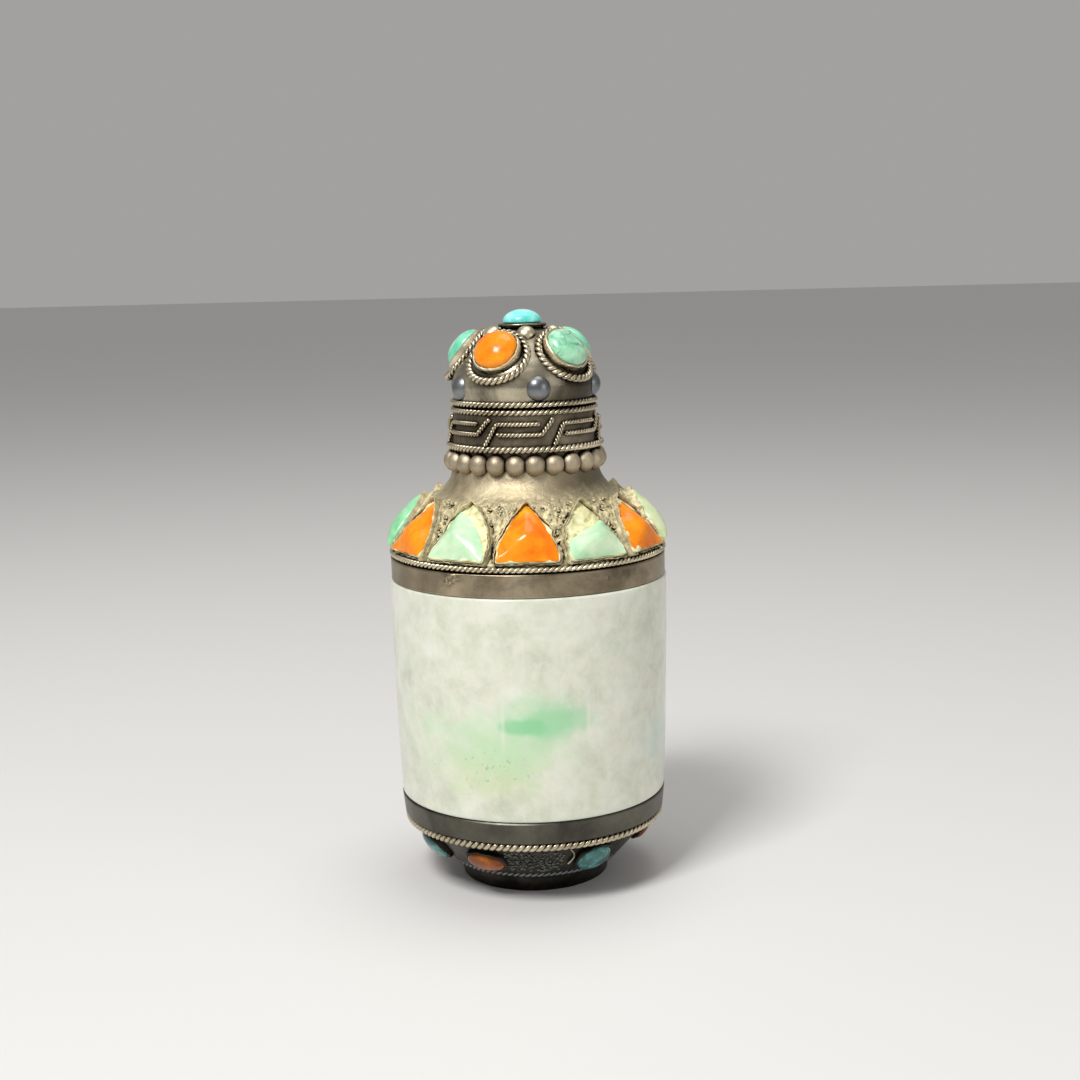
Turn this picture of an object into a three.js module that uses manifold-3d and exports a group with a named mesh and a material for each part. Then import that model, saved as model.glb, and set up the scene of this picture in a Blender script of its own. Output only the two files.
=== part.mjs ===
// Snuff bottle made from a jade archer's ring, with silver mounts set with coral and turquoise.
// Millimetres, +Z up. The origin is the centre of the foot ring's underside; the front faces -Y.
import * as THREE from 'three';
import { mergeVertices } from 'three/addons/utils/BufferGeometryUtils.js';
import Module from 'manifold-3d';

const wasm = await Module();
wasm.setup();

// ---- driving dimensions ----

const segments = { bottle: 30, cap: 24, setting: 9 }; // facets round each turned form

const wall = 0.9; // silver sheet of the mounts
const seam = 0.05; // joint between two pieces that meet
const stoneGap = 0.12; // play of a stone in its setting

const jadeRing = { bottom: 10.15, top: 34.6, bore: 10.6, radius: [15.0, 15.24, 15.36, 15.49, 15.55] };

const footRing = { radius: 8.3, width: 1.0, height: 1.9, flare: 0.55 };
const footCone = { low: [10.1, 2.8], high: [13.55, 6.7] };
const lowerBand = { radiusLow: 14.8, radiusHigh: 15.05, low: 7.8 };

const upperBand = { radius: 15.4, high: 37.2 };
const shoulder = { low: [14.75, 38.3], high: [10.9, 43.4] };
// angle of a cone's outward normal above the horizontal
const coneTilt = ({ low, high }) => (
  THREE.MathUtils.radToDeg(Math.atan2(low[0] - high[0], high[1] - low[1]))
);
const footTilt = coneTilt(footCone);
const shoulderTilt = coneTilt(shoulder);
// the shoulder sweeps up to the neck through these points
const sweep = [[9.6, 44.3], [8.75, 45.2], [8.35, 45.9]];
const neck = { radius: 8.0, bore: 7.1, low: 46.9, high: 49.0 };
const frettedBand = { radiusLow: 8.25, radiusHigh: 7.9, low: 49.85, high: 52.95 };
const mouth = 53.75; // height of the neck's rim

// twisted wires laid round the bottle: height of the centre, radius of the centre, radius of the wire
const wires = {
  foot: { z: 2.42, r: 9.35, wire: 0.38 },
  footTop: { z: 7.25, r: 14.3, wire: 0.5 },
  bandTop: { z: 37.62, r: 15.2, wire: 0.32 },
  neck: { z: 49.4, r: 8.4, wire: 0.4 },
  rim: { z: 53.32, r: 7.85, wire: 0.35 },
  cap: { z: 54.15, r: 7.85, wire: 0.35 },
};

const beads = { count: 24, z: 47.7, r: 8.0, radius: 1.13, firstAngle: 7.5 };

const dome = [[7.85, 54.55], [8.0, 56.3], [7.6, 57.9], [6.5, 59.3], [4.9, 60.75], [3.4, 61.75]];
const flange = { radius: 2.7, low: 62.1, high: 62.6 };
const collar = { radius: 6.98, bore: 6.2, low: 52.2 };

const topStone = { radius: 2.2, height: 1.6 };
const capStone = { across: 2.4, along: 2.38, rim: 0.5, crown: 1.35, seat: [6.18, 59.65], tilt: 40 };
const capWire = { across: 3.72, along: 3.65, drop: 0.48, high: 0.05 }; // twisted wire round a cap setting
const boss = { radius: 1.55, seat: [7.2, 55.85] };
const ball = { radius: 1.05, seat: [3.6, 61.5], aside: -5.5 }; // each ball stands a little aside of its boss
const shoulderStone = { halfWidth: 3.4, length: 6.9, start: -0.15, rim: 0.6, peak: 1.8 };
const footSeat = [11.9, 4.85];
const footStones = {
  coral: { across: 2.15, along: 1.45, rim: 0.45, crown: 0.7 },
  turquoise: { across: 2.05, along: 2.05, rim: 0.45, crown: 0.75 },
};
const setting = { wall: 0.26, sunk: 0.65 }; // thickness of a setting's wall, and how deep it is let in

// azimuths in degrees, counted from the front towards +X
const capAngles = [-100, -26, 47, 122, 191];
const capKinds = ['turquoise', 'coral', 'turquoise', 'turquoise', 'coral'];
const bossAngles = [-62, 12, 79, 154, 226];
const footAngles = [-66, -26, 32, 88, 134, 178, 222, 262];
const shoulderAngles = Array.from({ length: 12 }, (_, i) => i * 30);

const silver = { color: 0x8d8577, roughness: 0.42, metalness: 0.9 };
const darkSilver = { color: 0x5a544b, roughness: 0.5, metalness: 0.85 };
const jade = { color: 0xd3d6c4, roughness: 0.35, metalness: 0 };
const coral = { color: 0xe2561c, roughness: 0.3, metalness: 0 };
const turquoise = { color: 0x8fd3bd, roughness: 0.4, metalness: 0 };
const brightTurquoise = { color: 0x5fd3d8, roughness: 0.35, metalness: 0 };

// ---- solids and booleans ----

const vector = ([x, y]) => new THREE.Vector2(x, y);
const radians = THREE.MathUtils.degToRad;

// six times the signed volume, negative when the faces point inwards
function signedVolume(geometry) {
  const at = geometry.attributes.position;
  const [a, b, c] = [new THREE.Vector3(), new THREE.Vector3(), new THREE.Vector3()];
  let sum = 0;
  for (let i = 0; i < geometry.index.count; i += 3) {
    a.fromBufferAttribute(at, geometry.index.getX(i));
    b.fromBufferAttribute(at, geometry.index.getX(i + 1));
    c.fromBufferAttribute(at, geometry.index.getX(i + 2));
    sum += a.dot(b.cross(c));
  }
  return sum;
}

// one closed skin: shared vertices merged, empty triangles dropped, faces pointing out
function weld(geometry) {
  geometry.deleteAttribute('normal');
  geometry.deleteAttribute('uv');
  const merged = mergeVertices(geometry, 1e-3);
  const index = Array.from(merged.index.array);
  const kept = [];
  for (let i = 0; i < index.length; i += 3) {
    const corners = index.slice(i, i + 3);
    if (new Set(corners).size === 3) kept.push(corners);
  }
  merged.setIndex(kept.flat());
  if (signedVolume(merged) < 0) merged.setIndex(kept.map((corners) => corners.reverse()).flat());
  return merged;
}

function toSolid(geometry) {
  const mesh = new wasm.Mesh({
    numProp: 3,
    vertProperties: new Float32Array(geometry.attributes.position.array),
    triVerts: new Uint32Array(geometry.index.array),
  });
  return new wasm.Manifold(mesh);
}

function toGeometry(solid) {
  const mesh = solid.getMesh();
  const geometry = new THREE.BufferGeometry();
  geometry.setAttribute('position', new THREE.BufferAttribute(mesh.vertProperties, 3));
  geometry.setIndex(new THREE.BufferAttribute(mesh.triVerts, 1));
  geometry.computeVertexNormals();
  return geometry;
}

// joins shapes to a body, then cuts others out of it
function joined(body, added, cuts = []) {
  const whole = added.reduce((solid, shape) => solid.add(toSolid(shape)), toSolid(body));
  return toGeometry(cuts.reduce((solid, shape) => solid.subtract(toSolid(shape)), whole));
}

// a profile of [radius, height] points turned about Z; it starts and ends on the axis, or is closed here
function turned(profile, sides) {
  const closed = profile[0][0] > 0 ? [...profile, profile[0]] : profile;
  return weld(new THREE.LatheGeometry(closed.map(vector), sides).rotateX(Math.PI / 2));
}

// the outer half of a wire's round section, from its underside to its top
function wireSection({ z, r, wire }, steps = 2) {
  return Array.from({ length: steps + 1 }, (_, i) => {
    const angle = -Math.PI / 2 + (Math.PI * i) / steps;
    return [r + wire * Math.cos(angle), z + wire * Math.sin(angle)];
  });
}

// a frame on the bottle's skin: x runs round it, y up the slope, z out of the skin
function seatAt(angle, [radius, height], tilt) {
  const turn = new THREE.Group();
  const seat = new THREE.Group();
  turn.rotation.z = radians(angle);
  seat.position.set(0, -radius, height);
  seat.rotation.x = radians(90 - tilt);
  turn.add(seat);
  turn.updateMatrixWorld(true);
  return { turn, seat };
}

const placed = (geometry, { seat }) => geometry.clone().applyMatrix4(seat.matrixWorld);

function meshOf(name, geometry, finish) {
  const mesh = new THREE.Mesh(geometry, new THREE.MeshStandardMaterial(finish));
  mesh.name = name;
  return mesh;
}

// ---- stones ----

// an oval cabochon: a straight girdle up to the rim of its setting, then a rounded crown
function cabochon({ across, along, rim, crown }, sides, steps) {
  const top = Array.from({ length: steps + 1 }, (_, i) => {
    const angle = (Math.PI / 2) * (i / steps);
    return [i === steps ? 0 : Math.cos(angle), rim + crown * Math.sin(angle)];
  });
  return turned([[0, stoneGap], [1, stoneGap], ...top], sides).scale(across, along, 1);
}

// an oval plug about z
function ovalPlug(across, along, low, high) {
  return turned([[0, low], [1, low], [1, high], [0, high]], segments.setting).scale(across, along, 1);
}

// a setting for an oval stone: a cup let into the skin
function ovalSetting({ across, along, rim }) {
  const outside = stoneGap + setting.wall;
  const plug = ovalPlug(across + outside, along + outside, -setting.sunk, rim);
  return weld(joined(plug, [], [ovalPlug(across + stoneGap, along + stoneGap, 0.02, rim + 1)]));
}

// a cap setting stands in a twisted wire, which lies lower than the setting's middle
function capSetting() {
  const { across, along, drop, high } = capWire;
  const wire = ovalPlug(across, along, -2 * setting.sunk, high).translate(0, -drop, 0);
  return weld(joined(ovalSetting(capStone), [wire]));
}

// half width of the pointed shoulder stones at a height along the stone
const pointedWidth = (share) => 1 - share ** 2.2;

// outline of a pointed stone or setting, grown outwards by a margin
function pointedOutline(margin) {
  const { halfWidth, length, start } = shoulderStone;
  const shares = [0, 0.4, 0.7, 0.92];
  const low = start - margin;
  const tall = length + 2.2 * margin;
  const side = shares.map((share) => [(halfWidth + margin) * pointedWidth(share), low + tall * share]);
  const mirror = side.map(([x, y]) => [-x, y]).reverse();
  return [...side, [0, low + tall], ...mirror];
}

function pointedPlug(margin, low, high) {
  const outline = new THREE.Shape(pointedOutline(margin).map(vector));
  const plug = new THREE.ExtrudeGeometry(outline, { depth: high - low, bevelEnabled: false });
  return weld(plug.translate(0, 0, low));
}

const pointedSetting = () => weld(
  joined(pointedPlug(stoneGap + setting.wall, -setting.sunk, shoulderStone.rim), [], [
    pointedPlug(stoneGap, 0.02, shoulderStone.rim + 1),
  ]),
);

// a pointed stone: a straight girdle, then faces that rise to a low peak with a ridge to the tip
function pointedStone() {
  const { rim, peak, length, start } = shoulderStone;
  const ring = pointedOutline(0);
  const centre = start + length * 0.37;
  const levels = [[stoneGap, 1], [rim, 1], [rim + (peak - rim) * 0.6, 0.66]];
  const points = levels.flatMap(([z, share]) => (
    ring.map(([x, y]) => [x * share, centre + (y - centre) * share, z])
  ));
  const sides = [];
  for (let level = 0; level < levels.length - 1; level += 1) {
    for (let i = 0; i < ring.length; i += 1) {
      const a = level * ring.length + i;
      const b = level * ring.length + ((i + 1) % ring.length);
      sides.push(a, b, b + ring.length, a, b + ring.length, a + ring.length);
    }
  }
  const base = points.push([0, centre, levels[0][0]]) - 1;
  const top = points.push([0, centre, peak]) - 1;
  const lastRing = (levels.length - 1) * ring.length;
  for (let i = 0; i < ring.length; i += 1) {
    const next = (i + 1) % ring.length;
    sides.push(base, next, i, top, lastRing + i, lastRing + next);
  }
  const geometry = new THREE.BufferGeometry();
  geometry.setAttribute('position', new THREE.Float32BufferAttribute(points.flat(), 3));
  geometry.setIndex(sides);
  return weld(geometry);
}

// coral and turquoise by turns
const footKinds = footAngles.map((angle, i) => (i % 2 === 0 ? 'turquoise' : 'coral'));
const shoulderKinds = shoulderAngles.map((angle, i) => (i % 2 === 0 ? 'coral' : 'turquoise'));

// stones that repeat round the bottle, each in its own seat
function stoneRow(part, angles, kinds, stones, seatPlace, tilt) {
  const row = new THREE.Group();
  const counts = { coral: 0, turquoise: 0 };
  angles.forEach((angle, i) => {
    const kind = kinds[i];
    counts[kind] += 1;
    const { turn, seat } = seatAt(angle, seatPlace, tilt);
    const finish = kind === 'coral' ? coral : turquoise;
    const mesh = meshOf(`${part}_${kind}_${counts[kind]}`, stones[kind], finish);
    seat.add(mesh);
    row.add(turn);
  });
  return row;
}

// ---- jade body ----

function jadeBody() {
  const { bottom, top, bore, radius } = jadeRing;
  const outside = radius.map((r, i) => [r, bottom + ((top - bottom) * i) / (radius.length - 1)]);
  return meshOf('jade_body', turned([[bore, bottom], ...outside, [bore, top]], segments.bottle), jade);
}

// ---- foot mount ----

function footMount() {
  const { radius, width, height, flare } = footRing;
  const bandTop = jadeRing.bottom - seam;
  const profile = [
    [0, height],
    [radius - width, height],
    [radius - width, 0],
    [radius, 0],
    [radius + flare * 0.4, height / 2],
    [radius + flare, height],
    ...wireSection(wires.foot),
    footCone.low,
    footCone.high,
    ...wireSection(wires.footTop, 3),
    [lowerBand.radiusLow, lowerBand.low],
    [lowerBand.radiusHigh, bandTop],
    [0, bandTop],
  ];
  const hollow = [
    [0, height + wall],
    [footCone.low[0] - wall, height + wall],
    [footCone.high[0] - wall * 0.8, footCone.high[1] + wall * 0.5],
    [lowerBand.radiusHigh - wall, bandTop - wall],
    [jadeRing.bore, bandTop - wall],
    [jadeRing.bore, bandTop + 1],
    [0, bandTop + 1],
  ];
  const cups = { coral: ovalSetting(footStones.coral), turquoise: ovalSetting(footStones.turquoise) };
  const settings = footAngles.map((angle, i) => (
    placed(cups[footKinds[i]], seatAt(angle, footSeat, footTilt))
  ));
  const sides = segments.bottle;
  return meshOf('foot_mount', joined(turned(profile, sides), settings, [turned(hollow, sides)]), darkSilver);
}

// ---- shoulder mount, with the neck ----

function beadRow() {
  const { count, z, r, radius, firstAngle } = beads;
  return Array.from({ length: count }, (_, i) => {
    const { seat } = seatAt(firstAngle + (i * 360) / count, [r, z], 0);
    return weld(new THREE.SphereGeometry(radius, 6, 3).applyMatrix4(seat.matrixWorld));
  });
}

function shoulderMount() {
  const bandLow = jadeRing.top + seam;
  const profile = [
    [0, bandLow],
    [upperBand.radius, bandLow],
    [upperBand.radius, upperBand.high],
    ...wireSection(wires.bandTop),
    shoulder.low,
    shoulder.high,
    ...sweep,
    [neck.radius, neck.low],
    [neck.radius, neck.high],
    ...wireSection(wires.neck),
    [frettedBand.radiusLow, frettedBand.low + 0.02],
    [frettedBand.radiusHigh, frettedBand.high],
    ...wireSection(wires.rim),
    [0, mouth],
  ];
  const hollow = [
    [0, bandLow - 1],
    [jadeRing.bore, bandLow - 1],
    [jadeRing.bore, bandLow + wall],
    [upperBand.radius - wall, bandLow + wall],
    [upperBand.radius - wall, upperBand.high - wall],
    [shoulder.low[0] - wall * 0.8, shoulder.low[1] - wall * 0.65],
    [shoulder.high[0] - wall * 0.8, shoulder.high[1] - wall * 0.65],
    [sweep[0][0] - wall * 0.65, sweep[0][1] - wall * 0.65],
    [neck.bore, sweep[1][1] + wall * 0.4],
    [neck.bore, mouth + 1],
    [0, mouth + 1],
  ];
  const cup = pointedSetting();
  const settings = shoulderAngles.map((angle) => placed(cup, seatAt(angle, shoulder.low, shoulderTilt)));
  const sides = segments.bottle;
  const solid = joined(turned(profile, sides), [...settings, ...beadRow()], [turned(hollow, sides)]);
  return meshOf('shoulder_mount', solid, silver);
}

// ---- cap ----

function capBody() {
  const low = mouth + seam;
  const profile = [
    [0, collar.low],
    [collar.radius, collar.low],
    [collar.radius, low],
    ...wireSection(wires.cap),
    ...dome,
    [flange.radius - 0.2, flange.low],
    [flange.radius, flange.low + 0.1],
    [flange.radius, flange.high],
    [0, flange.high],
  ];
  const hollow = [
    [0, collar.low - 1],
    [collar.bore, collar.low - 1],
    [collar.bore, dome[0][1]],
    ...dome.slice(1).map(([r, z]) => [r - wall * 0.85, z - wall * 0.45]),
    [0, flange.low - wall],
  ];
  const cup = capSetting();
  const bossShape = new THREE.SphereGeometry(boss.radius, 8, 3);
  const ballShape = new THREE.SphereGeometry(ball.radius, 6, 3);
  const settings = capAngles.map((angle) => placed(cup, seatAt(angle, capStone.seat, capStone.tilt)));
  const bosses = bossAngles.map((angle) => weld(placed(bossShape, seatAt(angle, boss.seat, 0))));
  const balls = bossAngles.map((angle) => weld(placed(ballShape, seatAt(angle + ball.aside, ball.seat, 60))));
  const added = [...settings, ...bosses, ...balls];
  const solid = joined(turned(profile, segments.cap), added, [turned(hollow, segments.cap)]);
  return meshOf('cap', solid, silver);
}

function capTopStone() {
  const { radius, height } = topStone;
  const stone = meshOf(
    'cap_turquoise_top',
    cabochon({ across: radius, along: radius, rim: 0.2, crown: height - 0.2 }, 14, 3),
    brightTurquoise,
  );
  stone.position.z = flange.high + seam - stoneGap;
  return stone;
}

// ---- the bottle ----

const both = (stone) => ({ coral: stone, turquoise: stone });
const capRow = both(cabochon(capStone, segments.setting, 2));
const footRow = {
  coral: cabochon(footStones.coral, segments.setting, 2),
  turquoise: cabochon(footStones.turquoise, segments.setting, 2),
};

const bottle = new THREE.Group();
bottle.add(jadeBody(), footMount(), shoulderMount(), capBody(), capTopStone());
bottle.add(stoneRow('foot', footAngles, footKinds, footRow, footSeat, footTilt));
const shoulderRow = both(pointedStone());
bottle.add(stoneRow('shoulder', shoulderAngles, shoulderKinds, shoulderRow, shoulder.low, shoulderTilt));
bottle.add(stoneRow('cap', capAngles, capKinds, capRow, capStone.seat, capStone.tilt));

export default bottle;
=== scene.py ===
import bpy
import bmesh
import math
import numpy as np
from mathutils import Matrix, Vector, noise


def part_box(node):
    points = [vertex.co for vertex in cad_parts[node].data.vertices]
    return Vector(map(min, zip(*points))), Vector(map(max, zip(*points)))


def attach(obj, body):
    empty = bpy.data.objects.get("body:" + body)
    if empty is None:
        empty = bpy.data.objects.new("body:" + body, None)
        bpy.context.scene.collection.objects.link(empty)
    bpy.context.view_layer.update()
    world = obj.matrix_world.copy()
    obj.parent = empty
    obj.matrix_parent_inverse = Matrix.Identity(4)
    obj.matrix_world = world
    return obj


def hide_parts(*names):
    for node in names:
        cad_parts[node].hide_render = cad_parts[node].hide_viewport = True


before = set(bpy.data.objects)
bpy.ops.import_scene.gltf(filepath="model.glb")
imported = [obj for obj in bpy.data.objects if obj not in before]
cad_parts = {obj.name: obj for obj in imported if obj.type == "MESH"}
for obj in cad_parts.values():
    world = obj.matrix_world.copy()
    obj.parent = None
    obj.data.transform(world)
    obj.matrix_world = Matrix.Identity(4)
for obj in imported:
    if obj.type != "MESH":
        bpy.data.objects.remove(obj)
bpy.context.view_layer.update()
scene = bpy.context.scene
mm = 0.001
fullTurn = 2 * math.pi


def nodeBox(name):
    low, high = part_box(name)
    return low / mm, high / mm


jadeFoot, jadeTop = (corner.z for corner in nodeBox("jade_body"))
footTop = nodeBox("foot_mount")[1].z
# the shoulder mount's underside and the neck's rim
mountFoot, mouthTop = (corner.z for corner in nodeBox("shoulder_mount"))
capRim = mouthTop + (mountFoot - jadeTop)  # the cap stands off the rim as the mounts do off the jade
weldDistance = 0.002 * mm
onAxis = 1e-6  # a profile point nearer the axis than this lies on it


def onSkin(azimuth, radius, height):
    turn = math.radians(azimuth)
    return Vector((radius * math.sin(turn), -radius * math.cos(turn), height))


def seatMatrix(azimuth, seat, tilt):
    # x runs round the bottle, y up the slope, z out of the skin
    turn, lean = math.radians(azimuth), math.radians(tilt)
    side = Vector((math.cos(turn), math.sin(turn), 0))
    out = Vector((math.sin(turn) * math.cos(lean), -math.cos(turn) * math.cos(lean), math.sin(lean)))
    up = out.cross(side)
    place = onSkin(azimuth, *seat)
    return Matrix((
        (side.x, up.x, out.x, place.x),
        (side.y, up.y, out.y, place.y),
        (side.z, up.z, out.z, place.z),
        (0, 0, 0, 1),
    ))


def newPiece(name, points, faces, material, sharp=35, edges=()):
    mesh = bpy.data.meshes.new(name)
    mesh.from_pydata([tuple(mm * c for c in p) for p in points], list(edges), faces)
    piece = bpy.data.objects.new(name, mesh)
    scene.collection.objects.link(piece)
    if material:
        mesh.materials.append(material)
    if faces:
        outwardFaces(mesh)
        mesh.shade_smooth()
        mesh.set_sharp_from_angle(angle=math.radians(sharp))
    return piece


def outwardFaces(mesh):
    form = bmesh.new()
    form.from_mesh(mesh)
    bmesh.ops.remove_doubles(form, verts=form.verts, dist=weldDistance)
    bmesh.ops.recalc_face_normals(form, faces=form.faces)
    form.to_mesh(mesh)
    form.free()


def place(piece, slot, *nodes):
    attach(piece, "root")
    if nodes:
        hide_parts(*nodes)
    return piece


def joinedPiece(name, pieces):
    # several meshes of one finish become one piece
    points, faces, start = [], [], 0
    for piece in pieces:
        mesh = piece.data
        points += [tuple(v.co / mm) for v in mesh.vertices]
        faces += [[start + i for i in face.vertices] for face in mesh.polygons]
        start += len(mesh.vertices)
    material = pieces[0].data.materials[0]
    for piece in pieces:
        bpy.data.objects.remove(piece)
    return newPiece(name, points, faces, material)


def arc(centre, radius, first, last, steps):
    return [
        (centre[0] + radius * math.cos(math.radians(first + (last - first) * i / steps)),
         centre[1] + radius * math.sin(math.radians(first + (last - first) * i / steps)))
        for i in range(steps + 1)
    ]


def smoothLine(points, steps):
    # a soft curve through the points, for the profiles of raised metal
    spline = np.array(points, float)
    ends = np.vstack([2 * spline[0] - spline[1], spline, 2 * spline[-1] - spline[-2]])
    line = []
    for i in range(len(spline) - 1):
        a, b, c, d = ends[i:i + 4]
        for t in np.linspace(0, 1, steps, endpoint=False):
            line.append(0.5 * (2 * b + (c - a) * t + (2 * a - 5 * b + 4 * c - d) * t ** 2
                               + (3 * b - a - 3 * c + d) * t ** 3))
    return [tuple(p) for p in line] + [tuple(spline[-1])]


def sweptFaces(columns, rows, kept=lambda j, n: True):
    # the quads of a closed section carried round a closed path
    faces = []
    for i in range(columns):
        k = (i + 1) % columns
        for j in range(rows):
            n = (j + 1) % rows
            if kept(j, n):
                faces.append((i * rows + j, k * rows + j, k * rows + n, i * rows + n))
    return faces


def turnedPiece(name, profile, sides, material, relief=None, sharp=35):
    # a closed profile of (radius, height) turned about the axis, with relief that moves each point
    points = []
    for i in range(sides):
        azimuth = 360 * i / sides
        for j, (radius, height) in enumerate(profile):
            shift = relief(azimuth, radius, height, j) if relief else (0, 0)
            points.append(onSkin(azimuth, max(radius + shift[0], 0), height + shift[1]))
    faces = sweptFaces(sides, len(profile), lambda j, n: max(profile[j][0], profile[n][0]) > onAxis)
    return newPiece(name, points, faces, material, sharp)


def grain(azimuth, radius, height, size, seed=0):
    # soft noise on the bottle's skin, with features of a size in millimetres
    return noise.noise(onSkin(azimuth, radius, height) / size + Vector((seed, seed, seed)))


def addNode(tree, kind, inputs=None, **settings):
    node = tree.nodes.new(kind)
    for name, value in settings.items():
        setattr(node, name, value)
    for name, value in (inputs or {}).items():
        if isinstance(value, bpy.types.NodeSocket):
            tree.links.new(value, node.inputs[name])
        else:
            node.inputs[name].default_value = value
    return node


def newFinish(name, **fixed):
    finish = bpy.data.materials.new(name)
    finish.use_nodes = True
    tree = finish.node_tree
    shader = tree.nodes["Principled BSDF"]
    for socket, value in fixed.items():
        shader.inputs[socket.replace("_", " ")].default_value = value
    return finish, tree, shader


def mathNode(tree, operation, *values):
    return addNode(tree, "ShaderNodeMath", dict(enumerate(values)), operation=operation).outputs[0]


def vectorNode(tree, operation, *values, scale=None):
    inputs = dict(enumerate(values))
    if scale is not None:
        inputs["Scale"] = scale
    return addNode(tree, "ShaderNodeVectorMath", inputs, operation=operation).outputs["Vector"]


def objectPlace(tree):
    return addNode(tree, "ShaderNodeTexCoord").outputs["Object"]


def axesOf(tree, vector):
    return addNode(tree, "ShaderNodeSeparateXYZ", {"Vector": vector}).outputs


def lengthNode(tree, vector):
    return addNode(tree, "ShaderNodeVectorMath", {0: vector}, operation="LENGTH").outputs["Value"]


def rangeNode(tree, value, low, high, reach=1.0, **settings):
    # nothing at low and the full reach at high
    return addNode(tree, "ShaderNodeMapRange", {
        "Value": value, "From Min": low, "From Max": high, "To Max": reach}, **settings).outputs["Result"]


def noiseNode(tree, scale, detail=4, roughness=0.55, distortion=0, place=None):
    place = place or objectPlace(tree)
    return addNode(tree, "ShaderNodeTexNoise", {
        "Vector": place, "Scale": scale, "Detail": detail, "Roughness": roughness, "Distortion": distortion,
    }).outputs["Fac"]


def rampNode(tree, factor, stops):
    ramp = addNode(tree, "ShaderNodeValToRGB", {"Fac": factor})
    band = ramp.color_ramp
    while len(band.elements) < len(stops):
        band.elements.new(0.5)
    for element, (position, colour) in zip(band.elements, stops):
        element.position = position
        element.color = (*colour, 1) if len(colour) == 3 else colour
    return ramp.outputs["Color"]


def greyRamp(tree, factor, low, high, dark=0.0, light=1.0):
    return rampNode(tree, factor, [(low, (dark,) * 3), (high, (light,) * 3)])


def mixNode(tree, factor, first, second, blend="MIX"):
    mix = addNode(tree, "ShaderNodeMix", data_type="RGBA", blend_type=blend)
    for index, value in ((0, factor), (6, first), (7, second)):
        if isinstance(value, bpy.types.NodeSocket):
            tree.links.new(value, mix.inputs[index])
        else:
            mix.inputs[index].default_value = (*value, 1) if isinstance(value, tuple) else value
    return mix.outputs[2]


def driftNode(tree, place, scale, detail):
    # three noises at once, to bend a place sideways
    return addNode(tree, "ShaderNodeTexNoise", {
        "Vector": place, "Scale": scale, "Detail": detail}).outputs["Color"]


def bumpNode(tree, shader, height, distance):
    bump = addNode(tree, "ShaderNodeBump", {"Height": height, "Distance": distance, "Strength": 1.0})
    tree.links.new(bump.outputs["Normal"], shader.inputs["Normal"])


silverLook = {
    "bright": (0.68, 0.59, 0.43), "worn": (0.44, 0.365, 0.25), "tarnish": (0.016, 0.012, 0.008),
    "reach": 0.8 * mm, "clean": (0.42, 0.80), "roughness": (0.26, 0.46), "brushed": 0.0, "pits": 0.0,
    # strength of the old dark patina everywhere, and of the painted shade that darkens the +x side, and where
    # that shade starts and ends
    "patina": 0.45, "darkSide": 0.0, "paintedShadeFrom": 1.5, "paintedShadeTo": 7.0,
    # creamy crust of solder and old cement, full below the first height and gone above the second
    "crust": None, "crustColour": (0.78, 0.68, 0.41), "crustShades": (0.45, 0.75, 1.0), "ragged": 2.6,
}


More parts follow.
